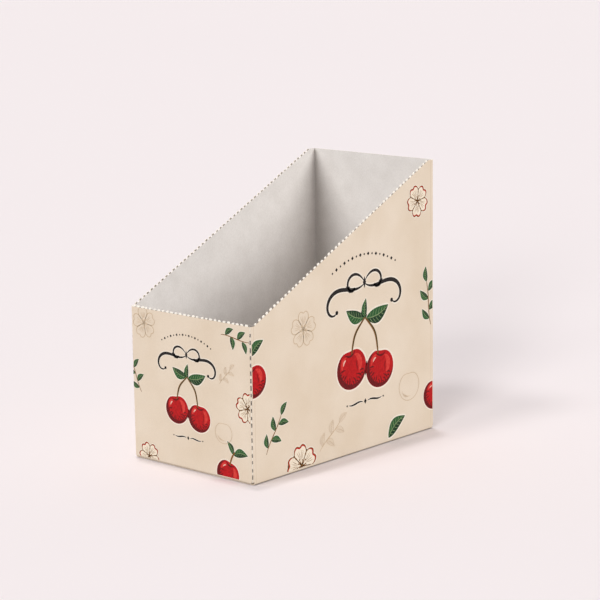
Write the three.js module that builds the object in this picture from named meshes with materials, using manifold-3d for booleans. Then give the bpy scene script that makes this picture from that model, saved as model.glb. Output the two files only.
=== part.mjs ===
// A tear-away display carton: one die-cut sheet of thin board, folded round four upright
// corners and glued. The front and the slopes of both sides were torn off along a perforation.
// Millimetres, Z up. X is the width, the low front faces -Y, the tall back faces +Y.
import * as THREE from 'three';
import { mergeVertices } from 'three/addons/utils/BufferGeometryUtils.js';
import Module from 'manifold-3d';

// Box
const width = 135;
const depth = 230;
const backHeight = 235;
const frontHeight = 128;
const board = 0.8;
const foldRadius = 1.6;
const foldSteps = 5;

// Torn line: flat stretches at each end of the slope, and the nibs that the ties left
const frontFlat = 4.8;
const rearFlat = 7;
const nibPitch = 4.8;
const nibWidth = 2.4;
const nibTipShare = 0.8;
const nibProud = 1.2;
const nibUneven = 0.3;

// Upright folds: slots go right through the board at the front, and half through at the back
const slotPitch = 6;
const slotLength = 3.2;
const slotWidth = 1;
const slotUneven = 0.7;
const slotEndMargin = 3.5;
const halfCutDepth = 0.45;

// Glue tab inside the front panel, and the free edge of the front panel over it
const tabWidth = 16;
const tabBevel = 0.5;
const seamStep = 0.5;

// Bottom flaps
const cornerRelief = 2.6;
const flapSideGap = 2;
const flapMeetingGap = 0.6;
const innerFlapLength = 58;
const overlap = 1;

const left = -width / 2;
const right = width / 2;
const front = -depth / 2;
const back = depth / 2;
const innerRadius = foldRadius - board;
const bigger = 10;

const wasm = await Module();
wasm.setup();

// A small seeded generator, so that every tear is uneven in the same way each time
let seed = 7;
function uneven() {
  seed = (seed * 16807) % 2147483647;
  return (2 * seed) / 2147483647 - 1;
}

function toSolid(geometry) {
  geometry.deleteAttribute('normal');
  geometry.deleteAttribute('uv');
  const merged = mergeVertices(geometry, 1e-4);
  return new wasm.Manifold(new wasm.Mesh({
    numProp: 3,
    vertProperties: Float32Array.from(merged.attributes.position.array),
    triVerts: Uint32Array.from(merged.index.array),
  }));
}

function extrude(shape, length) {
  return new THREE.ExtrudeGeometry(shape, {
    depth: length, bevelEnabled: false, curveSegments: foldSteps,
  });
}

// A shape drawn in (x, z), extruded along +Y from yStart
function alongY(shape, yStart, length) {
  const geometry = extrude(shape, length);
  geometry.rotateX(Math.PI / 2);
  geometry.translate(0, yStart + length, 0);
  return toSolid(geometry);
}

// A shape drawn in (y, z), extruded along +X from xStart
function alongX(shape, xStart, length) {
  const geometry = extrude(shape, length);
  geometry.rotateX(Math.PI / 2);
  geometry.rotateZ(Math.PI / 2);
  geometry.translate(xStart, 0, 0);
  return toSolid(geometry);
}

// Plan of the four walls and the glue tab, as a closed band of board
function wallPlan() {
  const tabFace = front + board;
  const seam = left + foldRadius + seamStep;
  const plan = new THREE.Shape();
  plan.moveTo(seam, front);
  plan.lineTo(right - foldRadius, front);
  plan.absarc(right - foldRadius, front + foldRadius, foldRadius, -Math.PI / 2, 0);
  plan.lineTo(right, back - foldRadius);
  plan.absarc(right - foldRadius, back - foldRadius, foldRadius, 0, Math.PI / 2);
  plan.lineTo(left + foldRadius, back);
  plan.absarc(left + foldRadius, back - foldRadius, foldRadius, Math.PI / 2, Math.PI);
  plan.lineTo(left, tabFace + foldRadius);
  plan.absarc(left + foldRadius, tabFace + foldRadius, foldRadius, Math.PI, 1.5 * Math.PI);
  plan.lineTo(seam, tabFace);
  plan.closePath();

  const inside = new THREE.Path();
  const tabInside = tabFace + board;
  inside.moveTo(left + foldRadius, tabInside);
  inside.absarc(left + foldRadius, tabInside + innerRadius, innerRadius, 1.5 * Math.PI, Math.PI, true);
  inside.lineTo(left + board, back - foldRadius);
  inside.absarc(left + foldRadius, back - foldRadius, innerRadius, Math.PI, Math.PI / 2, true);
  inside.lineTo(right - foldRadius, back - board);
  inside.absarc(right - foldRadius, back - foldRadius, innerRadius, Math.PI / 2, 0, true);
  inside.lineTo(right - board, front + foldRadius);
  inside.absarc(right - foldRadius, front + foldRadius, innerRadius, 0, -Math.PI / 2, true);
  inside.lineTo(left + tabWidth + tabBevel, front + board);
  inside.lineTo(left + tabWidth, tabInside);
  inside.closePath();
  plan.holes.push(inside);
  return plan;
}

function walls() {
  const geometry = extrude(wallPlan(), backHeight - cornerRelief);
  geometry.translate(0, 0, cornerRelief);
  return toSolid(geometry);
}

// Points of a torn line from start to end, with a nib standing off the line at each tie
function tornLine(start, end) {
  const along = end.clone().sub(start);
  const length = along.length();
  along.normalize();
  const outward = new THREE.Vector2(-along.y, along.x);
  const count = Math.floor(length / nibPitch);
  const points = [start.clone()];
  const addPoint = (distance, height) => {
    points.push(start.clone().addScaledVector(along, distance).addScaledVector(outward, height));
  };
  for (let i = 0; i < count; i += 1) {
    const middle = (i + 0.5) * length / count + nibUneven * uneven();
    const half = nibWidth / 2 + nibUneven * 0.5 * uneven();
    const lean = nibUneven * uneven();
    addPoint(middle - half, 0);
    addPoint(middle - half * nibTipShare + lean, nibProud + nibUneven * uneven());
    addPoint(middle + half * nibTipShare + lean, nibProud + nibUneven * uneven());
    addPoint(middle + half, 0);
  }
  points.push(end.clone());
  return points;
}

// Everything above the torn slopes of the two sides, as seen along the width
function removedFromSide(xStart) {
  const slopeFoot = new THREE.Vector2(front + frontFlat, frontHeight);
  const slopeHead = new THREE.Vector2(back - rearFlat, backHeight);
  const points = [
    new THREE.Vector2(front + foldRadius, frontHeight),
    ...tornLine(slopeFoot, slopeHead),
    new THREE.Vector2(slopeHead.x, backHeight + bigger),
    new THREE.Vector2(front - bigger, backHeight + bigger),
    new THREE.Vector2(front - bigger, frontHeight),
  ];
  return alongX(new THREE.Shape(points), xStart, bigger + foldRadius);
}

// Everything above the torn top edge of the front panel and its glue tab
function removedFromFront() {
  const reach = foldRadius + board;
  const points = [
    new THREE.Vector2(left - bigger, frontHeight),
    ...tornLine(
      new THREE.Vector2(left + foldRadius, frontHeight),
      new THREE.Vector2(right - foldRadius, frontHeight),
    ),
    new THREE.Vector2(right + bigger, frontHeight),
    new THREE.Vector2(right + bigger, backHeight + bigger),
    new THREE.Vector2(left - bigger, backHeight + bigger),
  ];
  return alongY(new THREE.Shape(points), front - bigger, bigger + reach);
}

// One side wall's foot: it folds under into the outer bottom flap
function outerFlap(side) {
  const edge = side * right;
  const turn = edge - side * foldRadius;
  const inner = edge - side * board;
  const seam = side * flapMeetingGap / 2;
  const top = cornerRelief + overlap;
  const profile = new THREE.Shape();
  profile.moveTo(edge, top);
  profile.lineTo(edge, foldRadius);
  const outerStart = side > 0 ? 0 : Math.PI;
  profile.absarc(turn, foldRadius, foldRadius, outerStart, 1.5 * Math.PI, side > 0);
  profile.lineTo(seam, 0);
  profile.lineTo(seam, board);
  profile.lineTo(turn, board);
  profile.absarc(turn, foldRadius, innerRadius, 1.5 * Math.PI, side > 0 ? 2 * Math.PI : Math.PI, side < 0);
  profile.lineTo(inner, top);
  profile.closePath();
  return alongY(profile, front + flapSideGap, depth - 2 * flapSideGap);
}

// The front or back wall's foot: it folds under into an inner flap on top of the outer ones
function innerFlap(side) {
  const edge = side * back;
  const turn = edge - side * foldRadius;
  const inner = edge - side * board;
  const tip = edge - side * innerFlapLength;
  const top = cornerRelief + overlap;
  const level = board + foldRadius;
  const profile = new THREE.Shape();
  profile.moveTo(edge, top);
  profile.lineTo(edge, level);
  const outerStart = side > 0 ? 0 : Math.PI;
  profile.absarc(turn, level, foldRadius, outerStart, 1.5 * Math.PI, side > 0);
  profile.lineTo(tip, board);
  profile.lineTo(tip, 2 * board);
  profile.lineTo(turn, 2 * board);
  profile.absarc(turn, level, innerRadius, 1.5 * Math.PI, side > 0 ? 2 * Math.PI : Math.PI, side < 0);
  profile.lineTo(inner, top);
  profile.closePath();
  return alongX(profile, left + flapSideGap, width - 2 * flapSideGap);
}

// A column of slots of one depth from outside, in the fold round the upright line at (x, y).
// They gape a little more towards the top, where the sheet was pulled.
function foldSlots(x, y, height, cutDepth) {
  const slots = [];
  const column = height - 2 * slotEndMargin;
  const count = Math.floor(column / slotPitch);
  const reach = 2 * foldRadius;
  for (let i = 0; i < count; i += 1) {
    const gape = slotWidth * (0.8 + 0.4 * i / count);
    const slot = new THREE.BoxGeometry(reach, gape, slotLength + slotUneven * uneven());
    slot.translate(foldRadius - cutDepth + reach / 2, 0, 0);
    slot.rotateZ(Math.atan2(Math.sign(y), Math.sign(x)));
    slot.translate(x, y, slotEndMargin + (i + 0.5) * column / count + 0.5 * slotUneven * uneven());
    slots.push(toSolid(slot));
  }
  return slots;
}

function buildCarton() {
  const foldX = right - foldRadius;
  const foldY = back - foldRadius;
  const rightThrough = foldRadius;
  const added = [outerFlap(1), outerFlap(-1), innerFlap(1), innerFlap(-1)];
  const removed = [
    removedFromSide(left - bigger),
    removedFromSide(right - foldRadius),
    removedFromFront(),
    ...foldSlots(foldX, -foldY, frontHeight, rightThrough),
    ...foldSlots(-foldX, -foldY + board, frontHeight, rightThrough),
    ...foldSlots(foldX, foldY, backHeight, halfCutDepth),
    ...foldSlots(-foldX, foldY, backHeight, halfCutDepth),
  ];
  let carton = walls();
  for (const solid of added) carton = carton.add(solid);
  for (const solid of removed) carton = carton.subtract(solid);
  return carton;
}

function toMesh(name, solid, material) {
  const { vertProperties, triVerts } = solid.getMesh();
  const geometry = new THREE.BufferGeometry();
  geometry.setAttribute('position', new THREE.BufferAttribute(vertProperties, 3));
  geometry.setIndex(new THREE.BufferAttribute(triVerts, 1));
  geometry.computeVertexNormals();
  const mesh = new THREE.Mesh(geometry, material);
  mesh.name = name;
  return mesh;
}

const printedBoard = new THREE.MeshStandardMaterial({ color: 0xe9dac6, roughness: 0.75, metalness: 0 });

const group = new THREE.Group();
group.add(toMesh('carton', buildCarton(), printedBoard));
export default group;
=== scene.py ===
import math
import random

import bmesh
import bpy
from mathutils import Euler, Matrix, Vector


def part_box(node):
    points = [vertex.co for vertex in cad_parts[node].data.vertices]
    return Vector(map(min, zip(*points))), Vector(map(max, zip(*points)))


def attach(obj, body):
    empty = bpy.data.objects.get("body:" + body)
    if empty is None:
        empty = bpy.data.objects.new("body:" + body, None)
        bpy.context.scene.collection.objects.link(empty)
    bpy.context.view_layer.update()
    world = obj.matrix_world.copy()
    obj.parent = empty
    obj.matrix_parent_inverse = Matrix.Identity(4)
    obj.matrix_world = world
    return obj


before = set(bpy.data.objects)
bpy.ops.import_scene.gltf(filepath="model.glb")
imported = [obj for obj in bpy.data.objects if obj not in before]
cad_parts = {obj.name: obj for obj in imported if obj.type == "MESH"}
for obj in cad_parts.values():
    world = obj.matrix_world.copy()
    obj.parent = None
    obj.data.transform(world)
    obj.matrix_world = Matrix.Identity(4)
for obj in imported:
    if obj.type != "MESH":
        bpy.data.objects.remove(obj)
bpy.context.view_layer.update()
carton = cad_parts["carton"]
mm = 0.001
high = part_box("carton")[1]
halfWidth = high.x / mm
halfDepth = high.y / mm
tallHeight = high.z / mm
print("carton loaded")

# Sizes of the board that the looks depend on, in mm
board = {
    "thickness": 0.8,
    "foldRadius": 1.6,
    "frontHeight": 128.0,
    "frontFlat": 4.8,        # level stretch before the torn slope starts
    "rearFlat": 7.0,         # and after it ends
    "peel": 0.25,            # the print tears off unevenly round the nibs' feet
    "creaseFromFold": 4.0,   # faint rule pressed beside each upright fold of the sides
    "creaseWidth": 0.5,
}


def linear(code):  # "#rrggbb" as sRGB to linear RGBA
    parts = [int(code[i:i + 2], 16) / 255 for i in (1, 3, 5)]
    return [c / 12.92 if c <= 0.04045 else ((c + 0.055) / 1.055) ** 2.4 for c in parts] + [1.0]


def perMetre(size):  # a pattern scale from a real size in mm
    return 1000 / size


def addNode(tree, kind, settings, inputs):
    # Each input takes a fixed value or another node's socket; gives back the node's outputs
    node = tree.nodes.new(kind)
    for name, value in settings.items():
        setattr(node, name, value)
    for name, value in inputs.items():
        if isinstance(value, bpy.types.NodeSocket):
            tree.links.new(value, node.inputs[name])
        else:
            node.inputs[name].default_value = value
    return node.outputs


def newMaterial(name, roughness, specular):
    material = bpy.data.materials.new(name)
    material.use_nodes = True
    shader = material.node_tree.nodes["Principled BSDF"]
    shader.inputs["Roughness"].default_value = roughness
    shader.inputs["Specular IOR Level"].default_value = specular
    return material, material.node_tree, shader


def overTear(tree, axes):  # height above the foot of the torn slopes, in metres
    slope = addNode(tree, "ShaderNodeMapRange", {}, {
        "Value": axes["Y"],
        "From Min": (board["frontFlat"] - halfDepth) * mm,
        "From Max": (halfDepth - board["rearFlat"]) * mm,
        "To Min": board["frontHeight"] * mm,
        "To Max": tallHeight * mm,
    })[0]
    return addNode(tree, "ShaderNodeMath", {"operation": "SUBTRACT"}, {0: axes["Z"], 1: slope})[0]


printedLook = {
    "cream": "#ead9c5",
    "creamDeep": "#e2cfb8",
    "tornWhite": "#fffaf0",
    # painted shade in the pressed rule
    "creaseShade": "#b08d68",
    "creaseShare": 0.28,    # how much of the painted shade shows in the pressed rule
    "creaseDip": -3.0,      # its depth, against the grain's height of 1
    "crackedWhite": "#fbf4e8",
    "crackedFrom": 0.72,    # share of the fold's bulge where the print starts to crack
    "crackedTo": 0.85,      # and where it is cracked through
    "cloud": 38,            # mm, uneven absorption of the ground tint
    "grain": 0.9,           # mm, calendered fibre, drawn coarser than life so that it shows
    "chip": 1.6,            # mm, flakes of print off the folds
    "tear": 1.1,            # mm, ragged edge of the print along the slits
    "roughness": 0.62,
    "specular": 0.35,
    "bump": 0.35,
    "bumpDepth": 0.02,      # mm
}


def printedBoard():
    # Solid bleached board with a flat cream ground printed by offset: matt, even, a trace of fibre
    look = printedLook
    material, tree, shader = newMaterial("printed_cream_board", look["roughness"], look["specular"])
    place = addNode(tree, "ShaderNodeTexCoord", {}, {})["Object"]
    axes = addNode(tree, "ShaderNodeSeparateXYZ", {}, {0: place})
    cloud = addNode(tree, "ShaderNodeTexNoise", {},
                    {"Vector": place, "Scale": perMetre(look["cloud"]), "Detail": 3})[0]
    uneven = addNode(tree, "ShaderNodeMapRange", {},
                     {"Value": cloud, "From Min": 0.3, "From Max": 0.7})[0]
    ground = addNode(tree, "ShaderNodeMix", {"data_type": "RGBA"},
                     {0: uneven, 6: linear(look["cream"]), 7: linear(look["creamDeep"])})[2]
    grain = addNode(tree, "ShaderNodeTexNoise", {}, {
        "Vector": place, "Scale": perMetre(look["grain"]), "Detail": 3, "Roughness": 0.6})[0]
    speckle = addNode(tree, "ShaderNodeMapRange", {}, {
        "Value": grain, "From Min": 0.3, "From Max": 0.7, "To Min": 0.97, "To Max": 1.03})[0]
    tint = addNode(tree, "ShaderNodeVectorMath", {"operation": "MULTIPLY"},
                   {0: ground, 1: speckle})[0]

    # faint pressed rule beside the upright folds, on the two sides only: a real groove, its brown
    # painted shade
    besideX = addNode(tree, "ShaderNodeMath", {"operation": "ABSOLUTE"}, {0: axes["X"]})[0]
    besideY = addNode(tree, "ShaderNodeMath", {"operation": "ABSOLUTE"}, {0: axes["Y"]})[0]
    onRule = addNode(tree, "ShaderNodeMath", {"operation": "COMPARE"}, {
        0: besideY,
        1: (halfDepth - board["creaseFromFold"]) * mm,
        2: board["creaseWidth"] / 2 * mm,
    })[0]
    onSide = addNode(tree, "ShaderNodeMath", {"operation": "GREATER_THAN"},
                     {0: besideX, 1: (halfWidth - board["thickness"] / 2) * mm})[0]
    pressed = addNode(tree, "ShaderNodeMath", {"operation": "MULTIPLY"}, {0: onRule, 1: onSide})[0]
    faint = addNode(tree, "ShaderNodeMath", {"operation": "MULTIPLY"},
                    {0: pressed, 1: look["creaseShare"]})[0]
    ruled = addNode(tree, "ShaderNodeMix", {"data_type": "RGBA"},
                    {0: faint, 6: tint, 7: linear(look["creaseShade"])})[2]

    # the ties of the perforated upright folds, where bending cracked the print pale
    bulgeX = addNode(tree, "ShaderNodeMath", {"operation": "SUBTRACT"},
                     {0: besideX, 1: (halfWidth - board["foldRadius"]) * mm})[0]
    bulgeY = addNode(tree, "ShaderNodeMath", {"operation": "SUBTRACT"},
                     {0: besideY, 1: (halfDepth - board["foldRadius"]) * mm})[0]
    bulge = addNode(tree, "ShaderNodeMath", {"operation": "MINIMUM"}, {0: bulgeX, 1: bulgeY})[0]
    crown = board["foldRadius"] * math.sqrt(0.5) * mm
    inFold = addNode(tree, "ShaderNodeMapRange", {}, {
        "Value": bulge,
        "From Min": crown * look["crackedFrom"],
        "From Max": crown * look["crackedTo"],
    })[0]
    chips = addNode(tree, "ShaderNodeTexNoise", {},
                    {"Vector": place, "Scale": perMetre(look["chip"]), "Detail": 2})[0]
    patchy = addNode(tree, "ShaderNodeMapRange", {}, {
        "Value": chips, "From Min": 0.3, "From Max": 0.6, "To Min": 0.3, "To Max": 0.8})[0]
    cracked = addNode(tree, "ShaderNodeMath", {"operation": "MULTIPLY"},
                      {0: inFold, 1: patchy})[0]
    folded = addNode(tree, "ShaderNodeMix", {"data_type": "RGBA"},
                     {0: cracked, 6: ruled, 7: linear(look["crackedWhite"])})[2]

    # white core where the print tore away above the slits
    tears = addNode(tree, "ShaderNodeTexNoise", {},
                    {"Vector": place, "Scale": perMetre(look["tear"]), "Detail": 2})[0]
    ragged = addNode(tree, "ShaderNodeMapRange", {}, {
        "Value": tears,
        "From Min": 0.3,
        "From Max": 0.7,
        "To Min": -board["peel"] * mm,
        "To Max": board["peel"] * mm,
    })[0]
    raised = addNode(tree, "ShaderNodeMath", {"operation": "ADD"},
                     {0: overTear(tree, axes), 1: ragged})[0]
    torn = addNode(tree, "ShaderNodeMath", {"operation": "GREATER_THAN"},
                   {0: raised, 1: board["peel"] * 0.5 * mm})[0]
    beforeBack = addNode(tree, "ShaderNodeMath", {"operation": "LESS_THAN"},
                         {0: axes["Y"], 1: (halfDepth - board["rearFlat"]) * mm})[0]
    peeled = addNode(tree, "ShaderNodeMath", {"operation": "MULTIPLY"},
                     {0: torn, 1: beforeBack})[0]
    final = addNode(tree, "ShaderNodeMix", {"data_type": "RGBA"},
                    {0: peeled, 6: folded, 7: linear(look["tornWhite"])})[2]
    tree.links.new(final, shader.inputs["Base Color"])
    relief = addNode(tree, "ShaderNodeMath", {"operation": "MULTIPLY_ADD"},
                     {0: pressed, 1: look["creaseDip"], 2: grain})[0]
    bump = addNode(tree, "ShaderNodeBump", {}, {
        "Height": relief, "Strength": look["bump"], "Distance": look["bumpDepth"] * mm})
    tree.links.new(bump["Normal"], shader.inputs["Normal"])
    return material


uncoatedLook = {
    "pale": "#e3deda",
    "deep": "#d3cdc8",
    # painted shade on the backs of the nibs
    "nibShade": "#8b8175",
    "nibShadeFrom": -0.1,    # mm over the foot of the nibs
    "nibShadeTo": 0.2,
    "fibre": 0.7,           # mm across a clump, drawn coarser than life so that it shows
    "upright": 0.45,        # the clumps stand taller than they are wide
    "cloud": 14,            # mm, formation of the sheet
    "cloudShare": 0.4,
    "roughness": 0.9,
    "specular": 0.3,
    "bump": 0.5,
    "bumpDepth": 0.12,      # mm
}


def uncoatedBoard():
    # The sheet's bare back: greyish, quite rough, with visible short fibres and cloudy formation
    look = uncoatedLook
    material, tree, shader = newMaterial("uncoated_grey_board", look["roughness"], look["specular"])
    place = addNode(tree, "ShaderNodeTexCoord", {}, {})["Object"]
    upright = addNode(tree, "ShaderNodeMapping", {},
                      {"Vector": place, "Scale": (1.0, 1.0, look["upright"])})[0]
    fibres = addNode(tree, "ShaderNodeTexNoise", {}, {
        "Vector": upright, "Scale": perMetre(look["fibre"]), "Detail": 4, "Roughness": 0.7})[0]
    cloud = addNode(tree, "ShaderNodeTexNoise", {}, {
        "Vector": place, "Scale": perMetre(look["cloud"]), "Detail": 4, "Roughness": 0.6})[0]
    together = addNode(tree, "ShaderNodeMix", {},
                       {0: look["cloudShare"], 2: fibres, 3: cloud})[0]
    uneven = addNode(tree, "ShaderNodeMapRange", {},
                     {"Value": together, "From Min": 0.35, "From Max": 0.65})[0]
    tint = addNode(tree, "ShaderNodeMix", {"data_type": "RGBA"},
                   {0: uneven, 6: linear(look["deep"]), 7: linear(look["pale"])})[2]

    # painted shade: the back of each nib is coloured dark, as if it lay in shadow
    axes = addNode(tree, "ShaderNodeSeparateXYZ", {}, {0: place})
    onNib = addNode(tree, "ShaderNodeMapRange", {}, {
        "Value": overTear(tree, axes),
        "From Min": look["nibShadeFrom"] * mm,
        "From Max": look["nibShadeTo"] * mm,
    })[0]
    final = addNode(tree, "ShaderNodeMix", {"data_type": "RGBA"},
                    {0: onNib, 6: tint, 7: linear(look["nibShade"])})[2]
    tree.links.new(final, shader.inputs["Base Color"])
    bump = addNode(tree, "ShaderNodeBump", {}, {
        "Height": fibres, "Strength": look["bump"], "Distance": look["bumpDepth"] * mm})
    tree.links.new(bump["Normal"], shader.inputs["Normal"])
    return material


edgeLook = {
    "white": "#fffaf1",
    "warm": "#eee3d2",
    # painted shade: the slit edges are coloured darker than the board's grey middle
    "slit": "#8d8072",
    "slitDeep": "#75695c",
    "tuft": 0.5,            # mm, one tuft of fibre
    "tornRoughness": 0.95,
    "slitRoughness": 0.9,
    "specular": 0.1,
    "bump": 0.8,
    "bumpDepth": 0.2,       # mm
}


def tornCore():
    # Bleached pulp on the torn tips of the nibs and the cut at the back: soft, white, no gloss
    look = edgeLook
    material, tree, shader = newMaterial("torn_white_core", look["tornRoughness"], look["specular"])
    place = addNode(tree, "ShaderNodeTexCoord", {}, {})["Object"]
    tufts = addNode(tree, "ShaderNodeTexNoise", {}, {
        "Vector": place, "Scale": perMetre(look["tuft"]), "Detail": 4, "Roughness": 0.7})[0]
    uneven = addNode(tree, "ShaderNodeMapRange", {},
                     {"Value": tufts, "From Min": 0.35, "From Max": 0.6})[0]
    tint = addNode(tree, "ShaderNodeMix", {"data_type": "RGBA"},
                   {0: uneven, 6: linear(look["warm"]), 7: linear(look["white"])})[2]
    tree.links.new(tint, shader.inputs["Base Color"])
    bump = addNode(tree, "ShaderNodeBump", {}, {
        "Height": tufts, "Strength": look["bump"], "Distance": look["bumpDepth"] * mm})
    tree.links.new(bump["Normal"], shader.inputs["Normal"])
    return material


def slitEdge():
    # Knife-cut edges of the slits between the nibs: the sheet's grey middle, darkened by painted
    # shade
    look = edgeLook
    material, tree, shader = newMaterial("slit_edge_board", look["slitRoughness"], look["specular"])
    place = addNode(tree, "ShaderNodeTexCoord", {}, {})["Object"]
    layers = addNode(tree, "ShaderNodeTexNoise", {},
                     {"Vector": place, "Scale": perMetre(look["tuft"]), "Detail": 2})[0]
    tint = addNode(tree, "ShaderNodeMix", {"data_type": "RGBA"},
                   {0: layers, 6: linear(look["slit"]), 7: linear(look["slitDeep"])})[2]
    tree.links.new(tint, shader.inputs["Base Color"])
    return material


inkLooks = {
    "haloPaper": ("#f4e9da", "#efe1cf"),
    "cherryRed": ("#c01216", "#a60b10"),
    "cherryDark": ("#6d070c", "#570406"),
    "cherryLight": ("#d9433a", "#cc2c27"),
    "glint": ("#f0c3b4", "#ebb4a2"),
    "leafDark": ("#163a1e", "#0f2b15"),
    "leafLight": ("#2d5c31", "#234e28"),
    "veinLine": ("#8da272", "#7c9464"),
    "goldLine": ("#8a5a27", "#744a1d"),
    "petal": ("#f7ead6", "#f1dfc6"),
    "ghostLine": ("#d3bb9c", "#cbb08f"),
    "black": ("#1b1715", "#120f0e"),
}
inkFilm = {"mottle": 2.2, "roughness": 0.6, "specular": 0.2}  # the mottle in mm


def ink(name):
    # Offset ink on board: opaque, slightly smoother than the paper, a faint mottle
    light, deep = inkLooks[name]
    material, tree, shader = newMaterial("ink_" + name, inkFilm["roughness"], inkFilm["specular"])
    place = addNode(tree, "ShaderNodeTexCoord", {}, {})["Object"]
    mottle = addNode(tree, "ShaderNodeTexNoise", {}, {
        "Vector": place, "Scale": perMetre(inkFilm["mottle"]), "Detail": 3, "Roughness": 0.6})[0]
    uneven = addNode(tree, "ShaderNodeMapRange", {},
                     {"Value": mottle, "From Min": 0.35, "From Max": 0.65})[0]
    tint = addNode(tree, "ShaderNodeMix", {"data_type": "RGBA"},
                   {0: uneven, 6: linear(light), 7: linear(deep)})[2]
    tree.links.new(tint, shader.inputs["Base Color"])
    return material


slopeRun = 2 * halfDepth - board["frontFlat"] - board["rearFlat"]
slopeRise = tallHeight - board["frontHeight"]
upSlope = Vector((0, -slopeRise, slopeRun)).normalized()  # square to the torn slopes


def heightOverTear(point):  # how far a point of the sheet is over the slits, all in mm
    along = point.y + halfDepth - board["frontFlat"]
    line = board["frontHeight"] + slopeRise * min(max(along / slopeRun, 0), 1)
    return point.z - line


# How each face of the sheet is told from the others; lengths in mm, the rest parts of a normal
faceRules = {
    "nearWall": 3.0,        # a face this close to a side belongs to that wall
    "bottomZone": 3.0,      # height of the folded bottom
    "nibFoot": 0.35,        # the white core starts this far over the slits
    "facingUp": 0.4,        # a bottom face that shows its bare side
    "facingIn": -0.5,
    "edgeTilt": 0.15,       # a wall's face tilts less than this, and its cut edges more
    "edgeTurn": 0.6,        # and it looks outward or inward by more than this
}


def dressCarton():
    # Faces of the one sheet: printed outside, bare inside, white where torn, grey with painted shade
    # where slit
    printed, bare, core, slit = range(4)
    mesh = carton.data
    mesh.materials.clear()
    for material in (printedBoard(), uncoatedBoard(), tornCore(), slitEdge()):
        mesh.materials.append(material)
    nibFoot = faceRules["nibFoot"]
    for face in mesh.polygons:
        centre = face.center / mm
        normal = face.normal
        outward = 0.0
        if abs(centre.x) > halfWidth - faceRules["nearWall"]:
            outward += math.copysign(normal.x, centre.x * normal.x)
        if abs(centre.y) > halfDepth - faceRules["nearWall"]:
            outward += math.copysign(normal.y, centre.y * normal.y)
        over = heightOverTear(centre)
        onEdge = abs(normal.z) > faceRules["edgeTilt"] or abs(outward) < faceRules["edgeTurn"]
        if centre.z < faceRules["bottomZone"]:
            inside = normal.z > faceRules["facingUp"] or outward < faceRules["facingIn"]
            kind = bare if inside else printed
        elif onEdge and over > -nibFoot:
            atBack = centre.y > halfDepth - board["rearFlat"]
            onLeft = centre.x < board["foldRadius"] - halfWidth
            kind = core if over > nibFoot or atBack or onLeft else slit
        elif onEdge:
            kind = slit
        else:
            kind = printed if outward > 0 else bare
        face.material_index = kind


dressCarton()
print("board dressed")

fibreLook = {
    "perFace": 8,           # a nib's tip is two faces
    "length": 0.7,          # mm, the longest
    "shortest": 0.3,        # and the shortest against it
    "width": 0.16,          # mm, a few fibres together, so that they show
    "sunk": 0.05,           # mm, the root below the tip's face
    "tilt": 0.55,
    "tipHeight": 0.6,       # mm over the slits; only faces above it carry fibres
    "squareness": 0.85,     # and only those that face up the nib
    "seed": 11,
}


def tornFibres():
    # Short paper fibres that stand out of every nib where its tie was pulled apart
    look = fibreLook
    draw = random.Random(look["seed"])
    blades = bmesh.new()
    mesh = carton.data
    for face in mesh.polygons:
        centre = face.center / mm
        onSide = abs(centre.x) > halfWidth - board["foldRadius"]
        along = upSlope if onSide else Vector((0, 0, 1))
        beforeBack = centre.y < halfDepth - board["rearFlat"]
        onTip = beforeBack and heightOverTear(centre) > look["tipHeight"]
        if not onTip or face.normal.dot(along) < look["squareness"]:
            continue
        corners = [mesh.vertices[i].co / mm for i in face.vertices]
        for _ in range(look["perFace"]):
            weights = [draw.random() + 0.05 for _ in corners]  # keeps roots off the rim
            root = sum((c * w for c, w in zip(corners, weights)), Vector()) / sum(weights)
            lean = Vector([draw.uniform(-1, 1) * look["tilt"] for _ in range(3)])
            length = look["length"] * draw.uniform(look["shortest"], 1)
            tip = root + (along + lean).normalized() * length
            side = Vector([draw.uniform(-1, 1) for _ in range(3)]).normalized()
            half = side * look["width"] / 2
            sunk = root - along * look["sunk"]
            ends = [sunk - half, sunk + half, tip]
            blades.faces.new([blades.verts.new(p * mm) for p in ends])
    fibreMesh = bpy.data.meshes.new("torn_fibres")
    blades.to_mesh(fibreMesh)
    blades.free()
    fibreMesh.materials.append(carton.data.materials[2])
    piece = bpy.data.objects.new("torn_fibres", fibreMesh)
    bpy.context.scene.collection.objects.link(piece)
    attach(piece, "root")


tornFibres()
print("torn fibres made")

# The print is drawn in mm on each panel, seen from outside: u to the right, v up. Each layer of
# ink lies a little further off the board than the one under it.
lift = {"halo": 0.04, "fill": 0.06, "shade": 0.08, "line": 0.10}
printRules = {
    "smallest": 0.004,      # mm2, a shape smaller than this isn't printed
    "offFold": 0.1,         # mm, blank beside the folds
    "underTear": 0.6,       # mm, blank under the slits
}


def curve(points, count=14):  # a smooth curve from the first point to the last, pulled by two more
    a, b, c, d = [Vector(p) for p in points]
    steps = [i / count for i in range(count + 1)]
    return [a * (1 - t) ** 3 + b * 3 * t * (1 - t) ** 2 + c * 3 * t * t * (1 - t) + d * t ** 3
            for t in steps]


def pen(inkName, layer, points, width, taper=0.25):
    # A pen line: a strip of quads round the points, thinner towards both ends
    left, right = [], []
    last = len(points) - 1
    for i, point in enumerate(points):
        ahead = points[min(i + 1, last)] - points[max(i - 1, 0)]
        across = Vector((-ahead.y, ahead.x)).normalized()
        swell = taper + (1 - taper) * abs(math.sin(math.pi * i / last)) ** 0.7
        left.append(point + across * width * swell / 2)
        right.append(point - across * width * swell / 2)
    return [(inkName, layer, [right[i], right[i + 1], left[i + 1], left[i]]) for i in range(last)]


def outlined(inkName, layer, points, width):
    # An even line all round an outline, as quads that share their mitred corners
    count = len(points)
    outer, inner = [], []
    for i, point in enumerate(points):
        ahead = (points[(i + 1) % count] - points[i - 1]).normalized()
        across = Vector((-ahead.y, ahead.x)) * width / 2
        outer.append(point - across)
        inner.append(point + across)
    follow = [(i, (i + 1) % count) for i in range(count)]
    return [(inkName, layer, [outer[i], outer[j], inner[j], inner[i]]) for i, j in follow]


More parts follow.
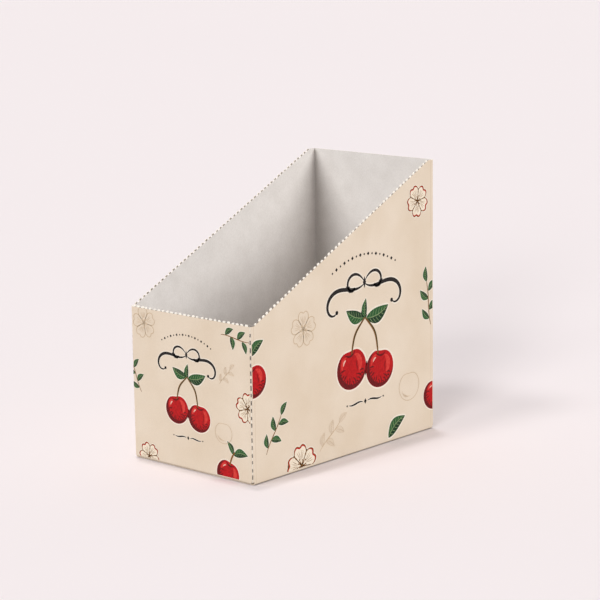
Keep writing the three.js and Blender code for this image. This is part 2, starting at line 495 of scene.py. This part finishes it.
def ring(radius, start=0.0, end=math.tau, count=28, centre=(0, 0), shape=None):
    # Points round a circle, or along a part of it; shape(angle) swells or dents it
    middle = Vector(centre)
    angles = [start + (end - start) * i / count for i in range(count + 1)]
    if end - start >= math.tau:
        angles.pop()
    grow = shape or (lambda a: 1.0)
    return [middle + Vector((math.cos(a), math.sin(a))) * radius * grow(a) for a in angles]


def cherry(ghost=False):
    # Round, with a dip for the stalk: flat red, a dark side, pen hatching and a glint; radius 1
    def body(a):
        fromTop = (a - math.pi / 2) / 0.45
        return 1 - 0.13 * math.exp(-fromTop * fromTop) + 0.03 * math.cos(2 * a)

    outline = ring(1, shape=body, count=36)
    if ghost:
        shapes = outlined("ghostLine", "line", outline, 0.04)
        for turn in (0.2, 0.5, 0.8):
            arc = ring(0.82, math.pi * (1.05 + turn / 4), math.pi * (1.3 + turn / 3), 8)
            shapes += pen("ghostLine", "line", [p * (1 - turn / 5) for p in arc], 0.03)
        return shapes
    shapes = outlined("haloPaper", "halo", outline, 0.17)
    shapes.append(("cherryRed", "fill", outline))
    steps = 30
    start, end = math.radians(122), math.radians(348)
    outer = ring(0.985, start, end, steps, shape=body)
    inner = ring(0.9, start, end, steps, (0.1, 0.14))
    for i in range(steps):  # the dark side, a crescent from upper left round to lower right
        shapes.append(("cherryDark", "shade", [outer[i], outer[i + 1], inner[i + 1], inner[i]]))
    hatches = 15
    for i in range(hatches):  # pen strokes that follow the round of the fruit
        angle = math.radians(172 + 11.5 * i)
        reach = 0.42 + 0.14 * ((i * 2) % 3)
        foot = Vector((math.cos(angle), math.sin(angle))) * reach
        head = Vector((math.cos(angle + 0.14), math.sin(angle + 0.14))) * 0.88
        bow = (foot + head) / 2 + Vector((0.06, 0.07))
        shapes += pen("cherryDark", "line", curve([foot, bow, bow, head], 6), 0.075, 0.15)
    dip = curve([(-0.34, 0.74), (-0.12, 0.56), (0.12, 0.56), (0.34, 0.76)], 10)
    shapes += pen("cherryDark", "line", dip, 0.1)
    sheen = curve([(0.3, 0.62), (0.62, 0.5), (0.74, 0.1), (0.5, -0.3)], 12)
    shapes += pen("cherryLight", "shade", sheen, 0.3, 0.05)
    farSheen = curve([(-0.66, 0.1), (-0.66, 0.42), (-0.46, 0.6), (-0.3, 0.64)], 8)
    shapes += pen("cherryLight", "shade", farSheen, 0.2, 0.1)
    crack = curve([(0.42, 0.3), (0.28, 0.1), (0.46, 0.0), (0.36, -0.2)], 10)
    shapes += pen("cherryDark", "line", crack, 0.04)
    glint = curve([(-0.55, 0.3), (-0.5, 0.44), (-0.42, 0.5), (-0.34, 0.52)], 8)
    return shapes + pen("glint", "line", glint, 0.09)


def leaf(width=0.42, bend=0.12, ghost=False):
    # A toothed leaf, length 1 along u: two greens divided by the midrib, and side veins
    count = 22

    def spine(t):
        return Vector((t, bend * math.sin(math.pi * t)))

    def half(t, side):
        teeth = 1 + 0.05 * ((t * 11) % 1)
        swell = math.sin(math.pi * t ** 0.85) ** 0.9 if 0 < t < 1 else 0
        return spine(t) + Vector((0.0, side * width / 2 * swell * teeth))

    steps = [i / count for i in range(count + 1)]
    upper = [half(t, 1) for t in steps]
    lower = [half(t, -1) for t in steps]
    middle = [spine(t) for t in steps]
    outline = lower + upper[-2:0:-1]
    lineInk = "ghostLine" if ghost else "veinLine"
    if ghost:
        shapes = outlined(lineInk, "line", outline, 0.022)
    else:
        shapes = outlined("haloPaper", "halo", outline, 0.1)
        for i in range(count):
            shapes.append(("leafDark", "fill", [lower[i], lower[i + 1], middle[i + 1], middle[i]]))
            shapes.append(("leafLight", "fill", [middle[i], middle[i + 1], upper[i + 1], upper[i]]))
    shapes += pen(lineInk, "line", [spine(t) for t in (0.0, 0.25, 0.5, 0.75, 0.96)], 0.028)
    for i in range(6):
        t = 0.14 + 0.125 * i
        for side in (1, -1):
            start = spine(t)
            end = start.lerp(half(min(t + 0.13, 1), side), 0.85)
            bow = start.lerp(end, 0.5) + Vector((-0.01, side * 0.008))
            shapes += pen(lineInk, "line", curve([start, bow, bow, end], 4), 0.016)
    return shapes


def blossom(ghost=False):
    # Five notched petals in cream, drawn with a brown-gold pen and blushed red at the rim; radius 1
    def petalEdge(a):
        return 1 - 0.12 * math.exp(-((a / 0.13) ** 2)) - 0.42 * abs(a / 0.66) ** 3.2

    shapes = []
    penInk = "ghostLine" if ghost else "goldLine"
    for k in range(5):
        turn = Matrix.Rotation(math.tau * k / 5 + 0.3, 2)
        arc = [-0.66 + 1.32 * i / 20 for i in range(21)]
        edge = [Vector((math.cos(a), math.sin(a))) * petalEdge(a) for a in arc]
        outline = [turn @ p for p in [Vector((0.06, 0))] + edge]
        if not ghost:
            shapes += outlined("haloPaper", "halo", outline, 0.14)
            shapes.append(("petal", "fill", outline))
            rim = [turn @ (p * 0.96) for p in edge[2:19]]
            shapes += pen("cherryRed", "shade", rim, 0.1, 0.1)
        shapes += outlined(penInk, "line", outline, 0.04)
        for side in (-0.3, -0.12, 0.12, 0.3):
            foot = Vector((math.cos(side * 0.6), math.sin(side * 0.6))) * 0.3
            head = Vector((math.cos(side), math.sin(side))) * 0.72
            shapes += pen(penInk, "line", [turn @ foot.lerp(head, t / 4) for t in range(5)], 0.02)
    for k in range(10):
        a = math.tau * k / 10
        tip = Vector((math.cos(a), math.sin(a))) * (0.26 + 0.07 * (k % 2))
        shapes += pen(penInk, "line", [Vector((0, 0)), tip * 0.5, tip], 0.024, 0.8)
        if not ghost:
            shapes.append(("goldLine", "line", ring(0.036, count=8, centre=tip)))
    return shapes


def moved(shapes, u=0.0, v=0.0, size=1.0, turn=0.0):  # turn in degrees
    rotation = Matrix.Rotation(math.radians(turn), 2)
    offset = Vector((u, v))
    return [(inkName, layer, [rotation @ p * size + offset for p in points])
            for inkName, layer, points in shapes]


def cherryPair():
    # Two cherries on one spur with leaves at the top; about 3 units across
    shapes = moved(leaf(0.44, -0.1), 0.1, 1.9, 1.65, 14)
    shapes += moved(leaf(0.46, 0.1), -0.05, 1.95, 1.35, 158)
    shapes += moved(leaf(0.4, 0.08), 0.0, 1.9, 0.95, 84)
    for start, bow, end in (((-0.95, 0.35), (-0.75, 1.3), (0.0, 1.95)),
                            ((0.95, 0.0), (0.8, 1.2), (0.02, 1.95))):
        line = curve([start, bow, bow, end], 14)
        shapes += pen("goldLine", "shade", line, 0.13, 0.6)
        shapes += pen("leafDark", "line", [p + Vector((0.02, 0.01)) for p in line], 0.05)
    shapes += moved(cherry(), -0.95, -0.3, 1.0, 8)
    shapes += moved(cherry(), 1.06, -0.6, 0.96, -6)
    return shapes


def sprig(ghost=False):
    # A cherry-tree twig with five leaves
    twigInk = "ghostLine" if ghost else "goldLine"
    line = curve([(-1.1, -0.3), (-0.4, 0.1), (0.4, 0.05), (1.1, 0.45)], 16)
    shapes = pen(twigInk, "shade", line, 0.06, 0.5)
    for u, v, size, turn in ((-0.8, -0.12, 0.8, 55), (-0.35, 0.02, 0.85, -55),
                             (0.2, 0.12, 0.85, 62), (0.6, 0.2, 0.8, -42), (1.05, 0.42, 0.8, 14)):
        shapes += moved(leaf(0.45, 0.1, ghost), u, v, size, turn)
    return shapes


def singleCherry():
    # One cherry on its stalk with two leaves
    shapes = moved(leaf(0.46, 0.12), 0.1, 1.5, 1.3, 24)
    shapes += moved(leaf(0.42, -0.1), 0.06, 1.5, 1.0, 140)
    stalk = curve([(0.0, 0.62), (-0.05, 1.1), (0.0, 1.4), (0.15, 1.7)], 12)
    shapes += cherry() + pen("goldLine", "line", stalk, 0.13, 0.6)
    return shapes


def penPath(start, heading, length, bend, count=44):
    # A pen stroke drawn by its bend: bend(s) is the turn per unit of length at s from 0 to 1
    point = Vector(start)
    angle = math.radians(heading)
    step = length / count
    points = [point.copy()]
    for i in range(count):
        angle += bend((i + 0.5) / count) * step
        point = point + Vector((math.cos(angle), math.sin(angle))) * step
        points.append(point.copy())
    return points


def flourish():
    # A penman's ornament: paired scrolls with balls, a lozenge and an arch of small ones; 2 across
    sweep = penPath((0.02, -0.03), -38, 1.55,
                    lambda s: 3.4 - 11 * s if s < 0.55 else -2.65 - 16 * (s - 0.55) ** 1.3)
    loop = penPath((0.02, 0.03), 58, 0.86, lambda s: -2.6 - 8 * s ** 1.7)
    lozenge = [Vector(p) for p in ((0, -0.11), (0.045, 0), (0, 0.11), (-0.045, 0))]
    shapes = [("black", "fill", lozenge)]
    for path, width, ball in ((sweep, 0.078, 0.04), (loop, 0.056, 0.03)):
        for side in (1, -1):
            points = [Vector((p.x * side, p.y)) for p in path]
            shapes += pen("haloPaper", "halo", points, width + 0.05, 0.5)
            shapes += pen("black", "fill", points, width, 0.18)
            shapes.append(("black", "fill", ring(ball, count=12, centre=points[-1])))
    for i in range(17):  # an arch of small lozenges over it
        u = (i - 8) / 9
        tip = 0.036 if i % 2 else 0.024
        middle = Vector((u, 0.52 - 0.3 * u * u))
        corners = [middle + Vector(p) for p in ((0, -tip), (tip, 0), (0, tip), (-tip, 0))]
        shapes.append(("black", "fill", corners))
    return shapes


def rule():
    # Two tapered strokes with a lozenge between them and a dot at each end; 2 across
    lozenge = [Vector(p) for p in ((0, -0.1), (0.07, 0), (0, 0.1), (-0.07, 0))]
    shapes = [("black", "fill", lozenge)]
    for side in (1, -1):
        line = curve([(side * 0.13, 0), (side * 0.4, 0.1), (side * 0.6, -0.1), (side * 0.88, 0)], 14)
        shapes += pen("haloPaper", "halo", line, 0.12, 0.5)
        shapes += pen("black", "fill", line, 0.07, 0.2)
        shapes.append(("black", "fill", ring(0.035, count=10, centre=(side * 0.97, 0))))
    return shapes


motifs = {
    "pair": cherryPair,
    "single": singleCherry,
    "blossom": blossom,
    "sprig": sprig,
    "leaf": leaf,
    "flourish": flourish,
    "rule": rule,
    "ghostBlossom": lambda: blossom(True),
    "ghostSprig": lambda: sprig(True),
    "ghostCherry": lambda: cherry(True),
}

# What is printed on each panel: motif, u, v, size in mm, turn in degrees
rightArt = [
    ("flourish", 138, 143, 45, 0),
    ("rule", 138, 42, 24, 0),
    ("pair", 138, 78, 18, 0),
    ("single", 3, 84, 14, 12),
    ("blossom", 58, 4, 18, 10),
    ("sprig", 26, 36, 15, 40),
    ("sprig", 224, 112, 17, 80),
    ("blossom", 208, 202, 14, 30),
    ("leaf", 168, 4, 27, 34),
    ("ghostBlossom", 62, 116, 15, 0),
    ("ghostSprig", 93, 20, 14, 20),
    ("ghostCherry", 196, 44, 13, 0),
    ("single", 229, 30, 13, -24),
]
frontArt = [
    ("flourish", 64, 96, 31, 0),
    ("rule", 64, 27, 17, 0),
    ("pair", 64, 53, 12.5, 0),
    ("blossom", 131, 62, 13, 0),
    ("sprig", 118, 116, 13, -24),
    ("single", 108, 5, 12, -18),
    ("blossom", 18, 4, 12, 30),
    ("sprig", 6, 70, 12, 96),
    ("ghostBlossom", 16, 116, 13, 10),
    ("ghostCherry", 104, 38, 9, 0),
    ("ghostSprig", 107, 84, 8, 30),
]
leftArt = [
    ("flourish", 92, 143, 45, 0),
    ("rule", 92, 42, 24, 0),
    ("pair", 92, 78, 18, 0),
    ("blossom", 4, 56, 17, 20),
    ("single", 182, 10, 14, -20),
    ("sprig", 22, 176, 18, 60),
    ("ghostSprig", 38, 112, 18, -20),
    ("ghostBlossom", 158, 72, 15, 0),
    ("blossom", 226, 90, 14, 40),
    ("leaf", 40, 12, 26, 30),
    ("sprig", 204, 52, 14, 110),
    ("ghostCherry", 132, 24, 12, 0),
]
backArt = [
    ("flourish", 68, 178, 43, 0),
    ("rule", 68, 78, 24, 0),
    ("pair", 68, 114, 18, 0),
    ("blossom", 3, 76, 17, 0),
    ("single", 122, 26, 14, -18),
    ("sprig", 122, 214, 17, -40),
    ("sprig", 14, 210, 17, 60),
    ("ghostBlossom", 26, 140, 14, 0),
    ("ghostSprig", 104, 62, 16, 10),
    ("leaf", 30, 10, 24, 30),
    ("ghostCherry", 66, 32, 13, 0),
    ("blossom", 131, 148, 14, 0),
]


def clipped(points, limits):
    # Keeps the part of an outline inside every limit a*u + b*v <= c
    for a, b, c in limits:
        kept = []
        for i, here in enumerate(points):
            before = points[i - 1]
            inHere = a * here.x + b * here.y - c
            inBefore = a * before.x + b * before.y - c
            if (inHere <= 0) != (inBefore <= 0):
                kept.append(before.lerp(here, inBefore / (inBefore - inHere)))
            if inHere <= 0:
                kept.append(here)
        points = kept
        if len(points) < 3:
            return []
    return points


def signedArea(points):  # above zero where the outline runs anticlockwise
    return sum(points[i - 1].x * p.y - p.x * points[i - 1].y for i, p in enumerate(points)) / 2


inks = {name: ink(name) for name in inkLooks}


def printPanel(name, art, limits, toCarton):
    # One panel's print as one piece: every shape clipped to the panel and laid on it
    order = list(inkLooks)
    sheet = bmesh.new()
    for motif, u, v, size, turn in art:
        for inkName, layer, points in moved(motifs[motif](), u, v, size, turn):
            points = clipped(points, limits)
            area = signedArea(points) if points else 0
            if abs(area) < printRules["smallest"]:
                continue
            if area < 0:
                points = points[::-1]
            verts = [sheet.verts.new(toCarton(p.x, p.y, lift[layer]) * mm) for p in points]
            sheet.faces.new(verts).material_index = order.index(inkName)
    mesh = bpy.data.meshes.new(name)
    bmesh.ops.triangulate(sheet, faces=sheet.faces)
    sheet.to_mesh(mesh)
    sheet.free()
    for inkName in order:
        mesh.materials.append(inks[inkName])
    piece = bpy.data.objects.new(name, mesh)
    bpy.context.scene.collection.objects.link(piece)
    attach(piece, "root")


def printAll():
    # Limits a*u + b*v <= c of each panel: blank at the foot, beside the folds and under the tear
    margin = board["foldRadius"] + printRules["offFold"]
    foot = margin + board["thickness"]
    frontTop = board["frontHeight"] - printRules["underTear"]
    backTop = tallHeight - printRules["underTear"]
    depth = 2 * halfDepth
    width = 2 * halfWidth
    pitch = slopeRise / slopeRun
    level = frontTop - pitch * board["frontFlat"]
    sideways = [(-1, 0, -margin), (0, -1, -foot)]
    rightLimits = sideways + [(1, 0, depth - margin), (-pitch, 1, level)]
    leftLimits = sideways + [(1, 0, depth - margin), (pitch, 1, level + pitch * depth)]
    frontLimits = sideways + [(1, 0, width - margin), (0, 1, frontTop)]
    backLimits = sideways + [(1, 0, width - margin), (0, 1, backTop)]
    printPanel("right_print", rightArt, rightLimits,
               lambda u, v, out: Vector((halfWidth + out, u - halfDepth, v)))
    printPanel("left_print", leftArt, leftLimits,
               lambda u, v, out: Vector((-halfWidth - out, halfDepth - u, v)))
    printPanel("front_print", frontArt, frontLimits,
               lambda u, v, out: Vector((u - halfWidth, -halfDepth - out, v)))
    printPanel("back_print", backArt, backLimits,
               lambda u, v, out: Vector((halfWidth - u, halfDepth + out, v)))


printAll()
print("print laid on the panels")

# Four soft windows cast the long fading shadow, and a wide roof light from behind evens out what
# the panels throw on the floor. Three more windows light the carton. Name, where from, strength,
# softness in degrees, and whether the floor is all that it lights or all that it leaves out
studio = {
    "ground": "#f6edee",
    "groundBounce": "#a39e9e",  # the floor as the carton gets its light back, kept low
    "sky": 0.3,
    "windows": (
        ("overhead_window", (-0.023, 0.013, 0.235), 0.62, 4, "INCLUDE"),
        ("high_window", (-0.045, -0.150, 0.235), 0.6, 13, "INCLUDE"),
        ("middle_window", (0.108, -0.374, 0.235), 0.6, 14, "INCLUDE"),
        ("low_window", (0.36, -0.744, 0.235), 0.9, 13, "INCLUDE"),
        ("roof_window", (-0.5, 0.5, 0.7), 0.72, 100, "INCLUDE"),
        ("right_window", (0.9, 0.25, 0.61), 2.5, 32, "EXCLUDE"),
        ("left_window", (-0.34, -0.85, 0.43), 2.36, 34, "EXCLUDE"),
        ("rear_window", (-0.6, 0.7, 0.25), 1.1, 40, "EXCLUDE"),
    ),
    "floorSize": 14.0,          # m, its radius
    "floorDrop": 0.2,           # mm under the carton
}


def seenDirectly(tree):  # 1 for rays from the camera, also by way of a mirror or glass
    path = addNode(tree, "ShaderNodeLightPath", {}, {})
    bent = addNode(tree, "ShaderNodeMath", {"operation": "MAXIMUM"},
                   {0: path["Is Glossy Ray"], 1: path["Is Transmission Ray"]})[0]
    return addNode(tree, "ShaderNodeMath", {"operation": "MAXIMUM"},
                   {0: path["Is Camera Ray"], 1: bent})[0]


def makeStudio():
    scene = bpy.context.scene
    material, tree, shader = newMaterial("pale_studio_floor", 0.9, 0.0)  # matt painted, no gloss
    seen = seenDirectly(tree)
    tint = addNode(tree, "ShaderNodeMix", {"data_type": "RGBA"},
                   {0: seen, 6: linear(studio["groundBounce"]), 7: linear(studio["ground"])})[2]
    tree.links.new(tint, shader.inputs["Base Color"])
    disc = bmesh.new()
    bmesh.ops.create_circle(disc, cap_ends=True, segments=64, radius=studio["floorSize"])
    mesh = bpy.data.meshes.new("studio_floor")
    disc.to_mesh(mesh)
    disc.free()
    mesh.materials.append(material)
    floor = bpy.data.objects.new("studio_floor", mesh)
    floor.location = (0, 0, -studio["floorDrop"] * mm)
    scene.collection.objects.link(floor)

    world = bpy.data.worlds.new("studio_world")
    world.use_nodes = True
    scene.world = world
    tree = world.node_tree
    tree.nodes.clear()
    soft = addNode(tree, "ShaderNodeBackground", {},
                   {"Color": (1, 1, 1, 1), "Strength": studio["sky"]})[0]
    pale = addNode(tree, "ShaderNodeBackground", {},
                   {"Color": linear(studio["ground"]), "Strength": 1.0})[0]
    seen = seenDirectly(tree)
    mixed = addNode(tree, "ShaderNodeMixShader", {}, {0: seen, 1: soft, 2: pale})[0]
    addNode(tree, "ShaderNodeOutputWorld", {}, {"Surface": mixed})

    for name, source, strength, softness, onFloor in studio["windows"]:
        lamp = bpy.data.lights.new(name, "SUN")
        lamp.energy = strength
        lamp.angle = math.radians(softness)
        holder = bpy.data.objects.new(name, lamp)
        holder.rotation_euler = Vector(source).to_track_quat("Z", "Y").to_euler()
        scene.collection.objects.link(holder)
        group = bpy.data.collections.new(name + "_floor")
        group.objects.link(floor)
        group.collection_objects[0].light_linking.link_state = onFloor
        holder.light_linking.receiver_collection = group


makeStudio()

camera = {
    "place": (1125.8, -1229.7, 457.1),   # mm, from the photograph's corners and edges
    "yaw": 42.054,
    "pitch": 11.333,
    "roll": -0.786,                      # degrees, as yaw and pitch
    "lens": 121.5,                       # mm, on the sensor's width
    "sensor": 36,
    "nearest": 50,                       # mm, where the view starts
}


def makeCamera():
    # A long lens from the right front corner, a little above the carton
    data = bpy.data.cameras.new("camera")
    data.lens = camera["lens"]
    data.sensor_width = camera["sensor"]
    data.clip_start = camera["nearest"] * mm
    holder = bpy.data.objects.new("camera", data)
    aim = Euler((math.radians(90 - camera["pitch"]), 0, math.radians(camera["yaw"]))).to_matrix()
    turn = aim @ Matrix.Rotation(math.radians(camera["roll"]), 3, "Z")
    holder.matrix_world = Matrix.Translation(Vector(camera["place"]) * mm) @ turn.to_4x4()
    bpy.context.scene.collection.objects.link(holder)
    bpy.context.scene.camera = holder


makeCamera()
bpy.context.scene.view_settings.view_transform = "Standard"
print("studio and camera set")

bpy.context.view_layer.update()
